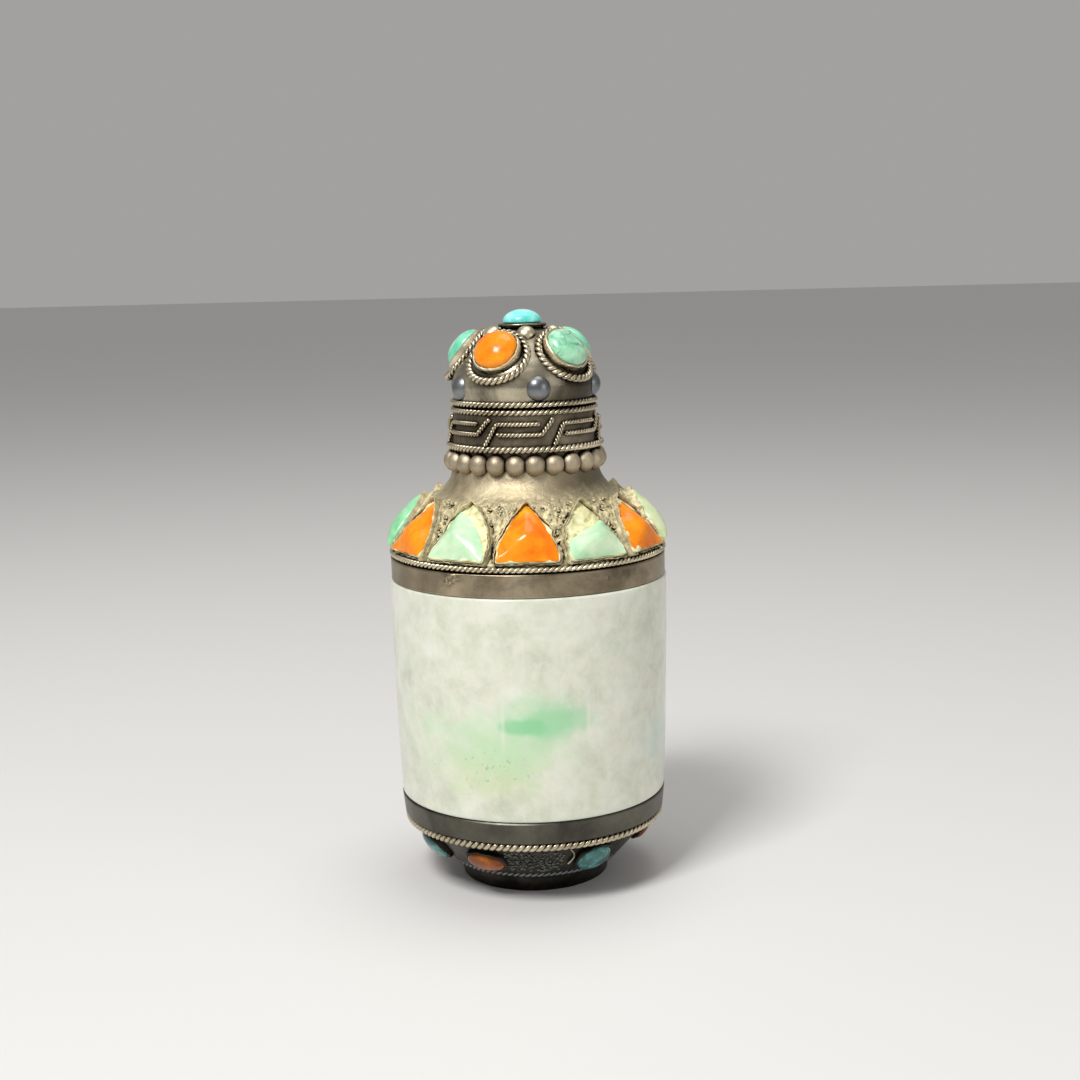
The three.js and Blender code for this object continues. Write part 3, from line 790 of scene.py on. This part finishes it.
def settingPiece(line, gap, thick, low, high, seat, finish, wobble, seed, lip=0.0, tipRise=0.0, footDrop=0.0,
                 skirt=0.0):
    # a thin upright strip bent round a stone, its upper edge uneven; skirt is the solder at its foot
    normals = outwardNormals(line)
    inner = gap
    outer = gap + thick
    section = [
        (outer + skirt, low), (outer + skirt * 0.85, high * 0.12), (outer + skirt * 0.3, high * 0.45),
        (outer, low * 0.3 + high * 0.7), (outer - lip * 0.5, high - thick * 0.35),
        (outer - lip - thick * 0.3, high), (inner - lip + thick * 0.2, high),
        (inner - lip, high - thick * 0.4), (inner, high - thick * 1.4), (inner, low),
    ]
    points = []
    bottom, tall = line[:, 1].min(), np.ptp(line[:, 1])
    for (x, y), (nx, ny) in zip(line, normals):
        share = (y - bottom) / tall
        taller = tipRise * share ** 3 - footDrop * max(0.0, 1 - 5 * share)
        wave = noise.noise(Vector((x * 0.8, y * 0.8, seed * 5 + 1)))
        crimp = noise.noise(Vector((x * 3.4, y * 3.4, seed * 5 + 9)))
        for d, z in section:
            upper = max(0.0, (z - low) / (high - low))
            push = wobble * (wave + 0.7 * crimp) * upper
            if d > outer + 0.01:
                uneven = noise.noise(Vector((x * 2.2, y * 2.2, z * 3 + seed * 3)))
                push += (d - outer) * (1.3 * uneven - max(0.0, 1 - 8 * share))
            lift = (wobble * 0.9 * (wave - 0.8 * crimp) + taller) * (upper > 0.8)
            points.append(seat @ Vector((x + nx * (d + push), y + ny * (d + push), z + lift)))
    return newPiece("setting", points, sweptFaces(len(line), len(section)), finish, sharp=50)


def numbered(kinds):
    # each kind of stone with its own running number
    counts = {"coral": 0, "turquoise": 0}
    for kind in kinds:
        counts[kind] += 1
        yield kind, counts[kind]


def placeStone(part, kind, number, *form, **quirks):
    stone = stonePiece(f"{part}{kind.capitalize()}{number}", *form, **quirks)
    place(stone, kind, f"{part}_{kind}_{number}")


jadeShape = {
    "radii": (15.0, 15.24, 15.36, 15.49, 15.55), "bore": 10.6, "edge": 0.25, "sides": 256,
}


def makeJade():
    radii = jadeShape["radii"]
    step = (jadeTop - jadeFoot) / (len(radii) - 1)
    outside = smoothLine([(r, jadeFoot + step * i) for i, r in enumerate(radii)], 10)
    outside = [p for p in outside if jadeFoot + jadeShape["edge"] < p[1] < jadeTop - jadeShape["edge"]]
    edge = jadeShape["edge"]
    low = arc((radii[0] - edge, jadeFoot + edge), edge, -90, 0, 4)
    high = arc((radii[-1] - edge, jadeTop - edge), edge, 0, 90, 4)
    profile = low + outside + high + [(jadeShape["bore"], jadeTop), (jadeShape["bore"], jadeFoot)]
    return turnedPiece("jadeTube", profile, jadeShape["sides"], jade)


place(makeJade(), "jade", "jade_body")
print("jade body made")


footShape = {
    "ring": 8.3, "ringWidth": 1.0, "recess": 1.9, "flare": 0.55, "wall": 0.9,
    "coneLow": (10.1, 2.8), "coneHigh": (13.55, 6.7), "band": (14.8, 15.05), "bandLow": 7.72,
    "smallWire": {"radius": 9.35, "height": 2.42, "wire": 0.38, "spacing": 0.67},
    "largeWire": {"radius": 14.3, "height": 7.25, "wire": 0.5, "spacing": 0.72},
    "seat": (11.9, 4.86), "gap": 0.12,
    "coral": {"across": 2.15, "along": 1.45, "rim": 0.45, "crown": 0.7},
    "turquoise": {"across": 2.05, "along": 2.05, "rim": 0.45, "crown": 0.75},
    "angles": (-66, -26, 32, 88, 134, 178, 222, 262), "kinds": ("turquoise", "coral") * 4,
    "ringEdge": 0.2, "bevel": 0.12, "coneRelief": 0.07, "ringRelief": 0.06,
    # rough grains over part of the cone, and a loose end of a thin wire beside them
    "grainPatch": (-15, 15), "grainDensity": 9.0, "grainRadius": 0.2,
    "looseWire": {"azimuth": 16.5, "swing": 3.5, "drop": 0.62, "lift": 0.22, "radius": 0.11},
}


def coneTilt(low, high):
    # angle of a cone's outward normal above the horizontal
    return math.degrees(math.atan2(low[0] - high[0], high[1] - low[1]))


footTilt = coneTilt(footShape["coneLow"], footShape["coneHigh"])


def makeFoot():
    shape = footShape
    ring, wall, edge, bevel = shape["ring"], shape["wall"], shape["ringEdge"], shape["bevel"]
    ringInside = ring - shape["ringWidth"]
    bandFoot, bandTop = shape["band"]
    bandLow, floorTop = shape["bandLow"], shape["recess"] + wall
    outside = [(ringInside, bevel), (ringInside + bevel, 0), *arc((ring - edge, edge), edge, -90, 0, 4)]
    outside += smoothLine(
        [(ring + 0.03, 0.5), (ring + 0.3, 1.2), (ring + shape["flare"], shape["recess"]), (9.2, 2.3)], 4)
    outside += smoothLine([(9.7, 2.6), shape["coneLow"], (11.25, 4.1), (12.4, 5.4), shape["coneHigh"]], 8)
    outside += [(14.0, 7.0), (14.3, 7.3), (bandFoot - 0.15, bandLow - 0.06), (bandFoot, bandLow + 0.06)]
    outside += [(bandTop - 0.02, footTop - 0.14), (bandTop - bevel, footTop)]
    inside = [
        (jadeShape["bore"], footTop), (jadeShape["bore"], footTop - wall), (bandTop - wall, footTop - wall),
        (shape["coneHigh"][0] - 0.7, 7.1), (shape["coneLow"][0] - wall, floorTop), (0, floorTop),
        (0, shape["recess"]), (ringInside, shape["recess"]),
    ]

    def relief(azimuth, radius, height, row):
        if row < len(outside) and 2.7 < height < 6.9:
            return shape["coneRelief"] * grain(azimuth, radius, height, 0.8), 0
        if 0 < row < len(outside) and height < 2.0:
            return shape["ringRelief"] * grain(azimuth, radius, height, 2.2), 0
        return 0, 0

    # the foot shell's dark silver is tarnish deepened with painted shade, darkest below the band
    piece = turnedPiece("footShell", outside + inside, 320, darkTarnishAndShade, relief)
    piece.data.materials.append(footTarnishAndShade)
    for face in piece.data.polygons:
        face.material_index = 1 if face.center.z / mm < 7.5 else 0  # below the band the silver is darker
    return piece


def footStones():
    shape = footShape
    settings = []
    for i, (angle, (kind, number)) in enumerate(zip(shape["angles"], numbered(shape["kinds"]))):
        size = shape[kind]
        seat = seatMatrix(angle, shape["seat"], footTilt)
        line = ovalOutline(size["across"], size["along"], 64, 2.15)
        line *= 1 + 0.03 * np.sin(2.3 * i + 2 * np.arctan2(line[:, 1], line[:, 0]))[:, None]
        # the foot's stones take colours darkened with painted shade
        finish, rough = (amberCoralInPaintedShade, 0.04) if kind == "coral" else (tealTurquoiseInPaintedShade, 0.08)
        placeStone("foot", kind, number, line * 0.985, (0, 0), size["rim"], size["crown"], shape["gap"], seat,
                   finish, seed=angle * 0.1, rough=rough)
        settings.append(settingPiece(line, 0.04, 0.2, -0.7, size["rim"] + 0.02, seat, footTarnishAndShade,
                                     wobble=0.1, seed=angle * 0.13, lip=0.05))
    return joinedPiece("footSettings", settings)


def coneSpot(shape, azimuth, share, lift=0.0):
    # a point on a cone, at a share of the way up its slope
    (lowRadius, lowHeight), (highRadius, highHeight) = shape["coneLow"], shape["coneHigh"]
    tilt = math.radians(coneTilt(shape["coneLow"], shape["coneHigh"]))
    radius = lowRadius + (highRadius - lowRadius) * share + lift * math.cos(tilt)
    return onSkin(azimuth, radius, lowHeight + (highHeight - lowHeight) * share + lift * math.sin(tilt))


def conePatch(name, shape, angles, shares, lift=0.0, steps=24):
    points, faces = [], []
    rows = max(2, steps // 4)
    for i in range(steps + 1):
        for j in range(rows + 1):
            azimuth = angles[0] + (angles[1] - angles[0]) * i / steps
            points.append(coneSpot(shape, azimuth, shares[0] + (shares[1] - shares[0]) * j / rows, lift))
    width = rows + 1
    for i in range(steps):
        for j in range(rows):
            a = i * width + j
            faces.append((a, a + width, a + width + 1, a + 1))
    return newPiece(name, points, faces, None)


def footTrim():
    patch = conePatch("footGrains", footShape, footShape["grainPatch"], (0.1, 0.85))
    grains = grown(patch, granuleTree, {
        "Density": footShape["grainDensity"] / mm ** 2, "Grain radius": footShape["grainRadius"] * mm,
        "Least": 0.3, "Most": 1.0, "Seed": 4, "Roundness": 2, "Material": grainSilver})
    loose = footShape["looseWire"]
    path = [
        coneSpot(footShape, loose["azimuth"] + loose["swing"] * math.sin(t * 2.6), 1.0 - loose["drop"] * t,
                 loose["lift"])
        for t in np.linspace(0, 1, 24)
    ]
    wire = grown(hostPaths("footLooseWire", [(path, False)]), plainTree, {
        "Wire radius": loose["radius"] * mm, "Sides": 8, "Material": silver})
    return grains, wire


place(makeFoot(), "dark_silver", "foot_mount")
for trim in footTrim():
    place(trim, "silver")
place(wireRing("footSmallWire", footShape["smallWire"], bossSilver), "silver")
place(wireRing("footLargeWire", footShape["largeWire"], silver), "silver")
place(footStones(), "dark_silver")
print("foot mount made")


shoulderShape = {
    "bandRadius": 15.4, "bandHeight": 2.55, "wall": 0.9,
    "coneLow": (14.75, 38.3), "coneHigh": (10.9, 43.4), "bore": 7.1,
    # the cone is rough above the first height and smooth past the second, with lumps, pits and slow waves
    "roughFrom": 37.9, "smoothFrom": 44.6, "swell": 0.06, "lumps": 0.30, "pits": 0.95, "waves": 0.03,
    "grainDensity": 8.0, "grainRadius": 0.22,
    "sweep": [(9.6, 44.3), (8.8, 45.2), (8.4, 45.9), (8.1, 46.9)],
    "bandWire": {"radius": 15.2, "height": 37.62, "wire": 0.32, "spacing": 0.62},
    "beads": {"count": 24, "height": 47.7, "ring": 8.0, "radius": 1.13, "first": 7.5},
    "neckWire": {"radius": 8.4, "height": 49.4, "wire": 0.4, "spacing": 0.6},
    "rimWire": {"radius": 7.85, "height": 53.32, "wire": 0.35, "spacing": 0.6},
    "flare": ((8.25, 49.8), (7.9, 53.0)),
    # solder left by old repairs on the band: azimuth, height, half size, depth
    "solder": [
        (-31.5, 36.3, 0.9, 0.45), (22, 37.1, 0.3, 0.12), (33, 36.0, 0.22, 0.12), (-1.5, 36.2, 0.4, 0.08),
    ],
}
shoulderTilt = coneTilt(shoulderShape["coneLow"], shoulderShape["coneHigh"])


def makeBand():
    shape = shoulderShape
    radius, low = shape["bandRadius"], mountFoot
    high = low + shape["bandHeight"]
    edge = 0.12
    outside = arc((radius - edge, low + edge), edge, -90, 0, 3)
    outside += [(radius - 0.02, z) for z in np.linspace(low + 0.25, high - 0.4, 16)]
    outside += arc((radius - 0.16, high - 0.2), 0.16, 0, 90, 5) + [(radius - 0.5, high - 0.06)]
    inside = [(14.0, high + 0.4), (13.9, low + shape["wall"]), (jadeShape["bore"], low + shape["wall"]),
              (jadeShape["bore"], low)]

    def relief(azimuth, radius, height, row):
        if row >= len(outside):
            return 0, 0
        push = 0.02 * grain(azimuth, radius, height, 3)
        for where, level, size, depth in shape["solder"]:
            aside = ((azimuth - where + 180) % 360 - 180) * math.radians(radius)
            away = math.hypot(aside, height - level) / size
            if away < 2.2:
                push += depth * (math.exp(-away ** 2) - 0.55 * math.exp(-(away * 2.2) ** 2))
                push += 0.5 * depth * math.exp(-away ** 2) * grain(azimuth, radius, height, 0.3)
        return push, 0

    return turnedPiece("shoulderBand", outside + inside, 900, satinSilver, relief)


def makeCone():
    shape = shoulderShape
    path = [(15.0, 37.3), (14.95, 37.9), shape["coneLow"], (13.5, 39.96), (12.2, 41.68), shape["coneHigh"]]
    path += shape["sweep"] + [(8.0, 47.6)]
    outside = smoothLine(path, 10)
    inside = [(r - 0.75, z - 0.5) for r, z in path[::-1]]

    def relief(azimuth, radius, height, row):
        if row >= len(outside):
            return 0, 0
        # rough, pitted work between the settings, smoother towards the neck
        rough = min(1.0, max(0.0, (shape["smoothFrom"] - height) / 1.6))
        rough *= min(1.0, max(0.0, (height - shape["roughFrom"]) / 0.5))
        lumps = grain(azimuth, radius, height, 0.8) + 0.9 * grain(azimuth, radius, height, 0.34, 4)
        lumps += 0.5 * grain(azimuth, radius, height, 0.16, 2)
        pit = max(0.0, grain(azimuth, radius, height, 0.7, 9) - 0.14)
        push = rough * (shape["swell"] + shape["lumps"] * lumps - shape["pits"] * pit)
        return push + shape["waves"] * grain(azimuth, radius, height, 1.4), 0

    return turnedPiece("shoulderCone", outside + inside, 860, shoulderSilver, relief, sharp=80)


def makeNeck():
    shape = shoulderShape
    (lowRadius, lowHeight), (highRadius, highHeight) = shape["flare"]
    outside = [(7.95, 46.6), (8.0, 47.2), (8.0, 48.6), (8.1, 49.1), (lowRadius, 49.5)]
    outside += [(lowRadius + (highRadius - lowRadius) * t, lowHeight + (highHeight - lowHeight) * t)
                for t in np.linspace(0, 1, 12)]
    outside += [(highRadius - 0.05, mouthTop - 0.1), (highRadius - 0.15, mouthTop)]
    inside = [(shape["bore"], mouthTop), (shape["bore"], 45.8), (7.7, 45.2)]

    def relief(azimuth, radius, height, row):
        return (0.05 * grain(azimuth, radius, height, 1.3, 2) if row < len(outside) else 0, 0)

    return turnedPiece("neckTube", outside + inside, 360, fretSilver, relief)


def makeBeads():
    beads = shoulderShape["beads"]
    host = newPiece("neckBeads", [(0, 0, 0)], [], None)
    return grown(host, beadTree, {
        "Ring radius": beads["ring"] * mm, "Height": beads["height"] * mm,
        "First angle": math.radians(beads["first"] - 90), "Count": beads["count"],
        "Bead radius": beads["radius"] * mm, "Least": (0.94, 0.99, 1.02), "Most": (1.03, 1.06, 1.09),
        "Seed": 5, "Material": beadSilver,
    })


fretShape = {
    "repeats": 7, "first": -30, "uneven": 1.2, "wire": 0.27, "spacing": 0.4, "low": 51.0, "high": 52.12,
    "knob": 0.3,
    # degrees from a pair's start to the bends and ends of its two wires
    "rise": 8.7, "upperEnd": 41.5, "lowerStart": 9.6, "lowerBend": 43.5, "drop": 51.5,
}


def makeFret():
    # pairs of bent wires that hook into each other round the flared band
    (lowRadius, lowHeight), (highRadius, highHeight) = shoulderShape["flare"]
    shape = fretShape

    def onBand(azimuth, height):
        share = (height - lowHeight) / (highHeight - lowHeight)
        return onSkin(azimuth, lowRadius + (highRadius - lowRadius) * share + shape["wire"] * 0.85, height)

    def route(corners):
        line = []
        for (a, h), (b, k) in zip(corners, corners[1:]):
            steps = max(4, int(abs(b - a) / 2))
            line += [onBand(a + (b - a) * i / steps, h + (k - h) * i / steps) for i in range(steps)]
        return line + [onBand(*corners[-1])], False

    paths, knobs = [], []
    low, high = shape["low"], shape["high"]
    for i in range(shape["repeats"]):
        start = shape["first"] + i * 360 / shape["repeats"] + shape["uneven"] * math.sin(i * 2.3)
        rise, bend, drop = (start + shape[corner] for corner in ("rise", "lowerBend", "drop"))
        paths.append(route([(start, lowHeight), (rise - 1, high - 0.25), (rise + 1, high),
                            (start + shape["upperEnd"], high)]))
        paths.append(route([(start + shape["lowerStart"], low), (bend - 1, low), (bend + 1, low + 0.25),
                            (drop, high + 0.35)]))
        knobs.append((drop + 0.4, (highRadius + 0.12, high + 0.4)))
    wires = twistedWire("neckFret", paths, shape["wire"], shape["spacing"], silver, sides=6)
    balls = []
    for index, (azimuth, spot) in enumerate(knobs):
        line = ovalOutline(shape["knob"], shape["knob"], 16)
        balls.append(stonePiece("knob", line, (0, 0), 0, shape["knob"], -0.2, seatMatrix(azimuth, spot, 0),
                                silver, rings=6, rough=0.0, seed=index))
    return wires, joinedPiece("fretKnobs", balls)


pointedShape = {
    "halfWidth": 3.4, "length": 6.9, "start": -0.15, "rim": 0.6, "peak": 1.8, "fullness": 1.75,
    "sideFullness": 2.3, "sides": (90, 270), "centre": 0.37, "wall": 0.12, "gap": 0.06, "tipRise": 0.55,
    "footDrop": 0.42, "fill": 0.5, "skirt": 0.16, "ripple": 0.1, "wallRipple": 0.42,
}
# stones that differ, by their azimuth: sideways lean of the tip, share of the height filled, fullness of the
# left and right edges, and the shares at which a broken tip ends on the right and on the left
plainStone = {"lean": 0.0, "reach": 1.0, "left": 1.85, "right": 1.85, "keep": 1.0, "keepLeft": 1.0}
stoneQuirks = {
    0: {"left": 1.6, "right": 1.75, "lean": 0.0},
    330: {"lean": -1.15, "reach": 0.86, "left": 1.15, "right": 2.4},
    30: {"lean": 0.3, "left": 2.0, "right": 1.5, "keep": 0.66, "keepLeft": 0.36},
    60: {"lean": -0.2, "reach": 0.95, "left": 1.7}, 300: {"lean": 0.15, "reach": 0.97, "right": 1.7},
    150: {"lean": 0.5, "reach": 0.9}, 210: {"lean": -0.3, "reach": 0.93, "left": 1.6},
}
sideFinishes = {270: greenTurquoise, 240: greenTurquoise, 90: yellowTurquoise, 150: greenTurquoise}


def pointedOutline(quirk, grow=0.0, wave=0.0, seed=0.0):
    shape = pointedShape
    shares = np.linspace(0, 1, 34)
    low = shape["start"] - grow
    tall = shape["length"] * quirk["reach"] + 2.2 * grow
    sides = []
    for side, fullness, keep in ((1, quirk["right"], quirk["keep"]), (-1, quirk["left"], quirk["keepLeft"])):
        half = (shape["halfWidth"] + grow) * (1 - shares ** fullness)
        ripple = [noise.noise(Vector((seed * 3.1 + side * 7, share * 8.5, 2.0))) for share in shares]
        half = half + wave * np.array(ripple) * np.sin(np.pi * shares) ** 0.5
        line = np.stack([side * half + quirk["lean"] * shares, low + tall * shares], axis=1)
        sides.append(line[shares <= keep])
    return softened(evenly(np.vstack([sides[0], sides[1][::-1]]), 150), 5)


def shoulderStones():
    shape = pointedShape
    settings, beds = [], []
    for i, (kind, number) in enumerate(numbered(("coral", "turquoise") * 6)):
        angle = i * 30
        quirk = plainStone | {"lean": 0.1 * math.sin(i * 1.7)} | stoneQuirks.get(angle, {})
        wallQuirk = plainStone | {side: max(quirk[side] + 0.1, 1.7) for side in ("left", "right")}
        seat = seatMatrix(angle, shoulderShape["coneLow"], shoulderTilt)
        middle = shape["start"] + shape["length"] * shape["centre"] * (0.8 if quirk["keep"] < 1 else 1)
        finish = coral if kind == "coral" else sideFinishes.get(angle, paleTurquoise)
        fullness = shape["sideFullness" if angle in shape["sides"] else "fullness"]
        line = pointedOutline(quirk, -0.04, shape["ripple"], i)
        placeStone("shoulder", kind, number, line, (quirk["lean"] * 0.38, middle), shape["rim"],
                   shape["peak"] - shape["rim"], 0.12, seat, finish,
                   shape=fullness, rings=22, seed=i * 1.3, rough=0.07)
        wall, bed = (pointedOutline(wallQuirk, grow, shape["wallRipple"], i + 0.5) for grow in (0, 0.04))
        settings.append(settingPiece(wall, shape["gap"], shape["wall"], -0.65, shape["rim"] + 0.02, seat,
                                     wallSilver, wobble=0.2, seed=i * 0.7, tipRise=shape["tipRise"],
                                     footDrop=shape["footDrop"], skirt=shape["skirt"]))
        beds.append(stonePiece("bed", bed, (0, middle), shape["fill"], 0.12, -0.3, seat, cement, rings=18,
                               seed=i * 2.9, rough=0.34))
    return joinedPiece("shoulderSettings", settings), joinedPiece("shoulderCement", beds)


def shoulderGrains():
    # grains of solder and silver among the settings
    patch = conePatch("shoulderGrains", shoulderShape, (0, 360), (0.02, 1.08), -0.03, 240)
    return grown(patch, granuleTree, {
        "Density": shoulderShape["grainDensity"] / mm ** 2, "Grain radius": shoulderShape["grainRadius"] * mm,
        "Least": 0.25, "Most": 1.0, "Seed": 11, "Roundness": 1, "Material": wallSilver})


place(makeBand(), "silver", "shoulder_mount")
place(makeCone(), "silver")
place(makeNeck(), "silver")
place(wireRing("shoulderWire", shoulderShape["bandWire"], edgeSilver), "silver")
place(makeBeads(), "silver")
place(wireRing("neckWire", shoulderShape["neckWire"], silver), "silver")
place(wireRing("rimWire", shoulderShape["rimWire"], silver), "silver")
fretWires, fretKnobs = makeFret()
place(fretWires, "silver")
place(fretKnobs, "silver")
shoulderSettings, shoulderCement = shoulderStones()
place(shoulderSettings, "silver")
place(shoulderCement, None)
place(shoulderGrains(), "silver")
print("shoulder mount made")


capShape = {
    "wire": {"radius": 7.85, "height": 54.15, "wire": 0.35, "spacing": 0.6},
    "dome": [
        (7.8, 54.5), (7.95, 55.4), (8.0, 56.3), (7.6, 57.9), (6.5, 59.3), (4.9, 60.75), (3.4, 61.75),
        (2.3, 62.1),
    ],
    # the collar's outer and inner radius and lower end
    "collar": (6.98, 6.2, 52.2), "flange": 2.7, "flangeLow": 62.2, "flangeHigh": 62.6, "relief": 0.05,
    "seat": (6.18, 59.65), "tilt": 40, "across": 2.4, "along": 2.38, "rim": 0.5, "crown": 1.35,
    "angles": (-100, -26, 47, 122, 191), "bossAngles": (-62, 12, 79, 154, 226), "ballAside": -5.5,
    "boss": (1.5, (7.2, 55.85)), "ball": (1.05, (3.6, 61.5)),
    "ringWire": {"across": 3.3, "along": 3.25, "drop": 0.45, "wire": 0.43, "spacing": 0.66, "height": -0.12},
}


def makeDome():
    shape = capShape
    collarOut, collarIn, collarLow = shape["collar"]
    outside = [(collarOut, collarLow), (collarOut, capRim), (7.6, capRim), (7.75, 54.1)]
    outside += smoothLine(shape["dome"], 8)
    flange = shape["flange"]
    outside += [(flange - 0.1, shape["flangeLow"])]
    outside += arc((flange - 0.15, shape["flangeHigh"] - 0.15), 0.15, -60, 90, 6) + [(0, shape["flangeHigh"])]
    inside = [(0, 61.3)] + [(r - 0.75, z - 0.42) for r, z in shape["dome"][-2:0:-1]]
    inside += [(collarIn, 54.5), (collarIn, collarLow)]

    def relief(azimuth, radius, height, row):
        onDome = 4 < row < len(outside) - 6
        return (shape["relief"] * grain(azimuth, radius, height, 1.5, 6) if onDome else 0, 0)

    return turnedPiece("capDome", outside + inside, 300, domeSilver, relief, sharp=40)


def lumps(name, angles, radius, seat, tilt, finish, flat):
    # round bosses, let a little way into the skin
    pieces = []
    for index, angle in enumerate(angles):
        where = seatMatrix(angle, seat, tilt)
        line = ovalOutline(radius, radius, 32)
        pieces.append(stonePiece("boss", line, (0, 0), 0, radius * flat, -0.6 * radius, where, finish,
                                 seed=index, rough=0.02, rings=12))
    return joinedPiece(name, pieces)


def capStones():
    shape = capShape
    finishes = [mintTurquoise, coral, veinedTurquoise, mintTurquoise, coral]
    kinds = numbered("coral" if finish is coral else "turquoise" for finish in finishes)
    settings, rings = [], []
    ring = shape["ringWire"]
    line = ovalOutline(shape["across"], shape["along"], 80, 2.15)
    for angle, finish, (kind, number) in zip(shape["angles"], finishes, kinds):
        seat = seatMatrix(angle, shape["seat"], shape["tilt"])
        placeStone("cap", kind, number, line, (0, 0), shape["rim"], shape["crown"], 0.12, seat, finish,
                   seed=angle * 0.1, rings=18)
        settings.append(settingPiece(line, 0.06, 0.26, -0.9, shape["rim"] + 0.04, seat, settingSilver,
                                     wobble=0.08, seed=angle * 0.11, lip=0.05))
        loop = [seat @ Vector((x, y - ring["drop"], ring["height"] - 0.045 * (x * x)))
                for x, y in ovalOutline(ring["across"], ring["along"], 96)]
        rings.append((loop, True))
    wires = twistedWire("capSettingWires", rings, ring["wire"], ring["spacing"], silver)
    return joinedPiece("capSettings", settings), wires


def makeTopStone():
    low, high = nodeBox("cap_turquoise_top")
    radius = (high.x - low.x) / 2
    seat = Matrix.Translation(Vector((0, 0, low.z)))
    line = ovalOutline(radius, radius, 72)
    rim = 0.1
    crown = high.z - low.z - rim
    return stonePiece("capTopStone", line, (0, 0), rim, crown, 0.02, seat, skyTurquoise, rough=0.02)


place(makeDome(), "silver", "cap")
place(wireRing("capRimWire", capShape["wire"], silver), "silver")
capSettings, capWires = capStones()
place(capSettings, "silver")
place(capWires, "silver")
place(lumps("capBosses", capShape["bossAngles"], *capShape["boss"], 0, bossSilver, 0.95), "silver")
ballAngles = [angle + capShape["ballAside"] for angle in capShape["bossAngles"]]
place(lumps("capBalls", ballAngles, *capShape["ball"], 60, settingSilver, 0.8), "silver")
place(makeTopStone(), "bright_turquoise", "cap_turquoise_top")
print("cap made")
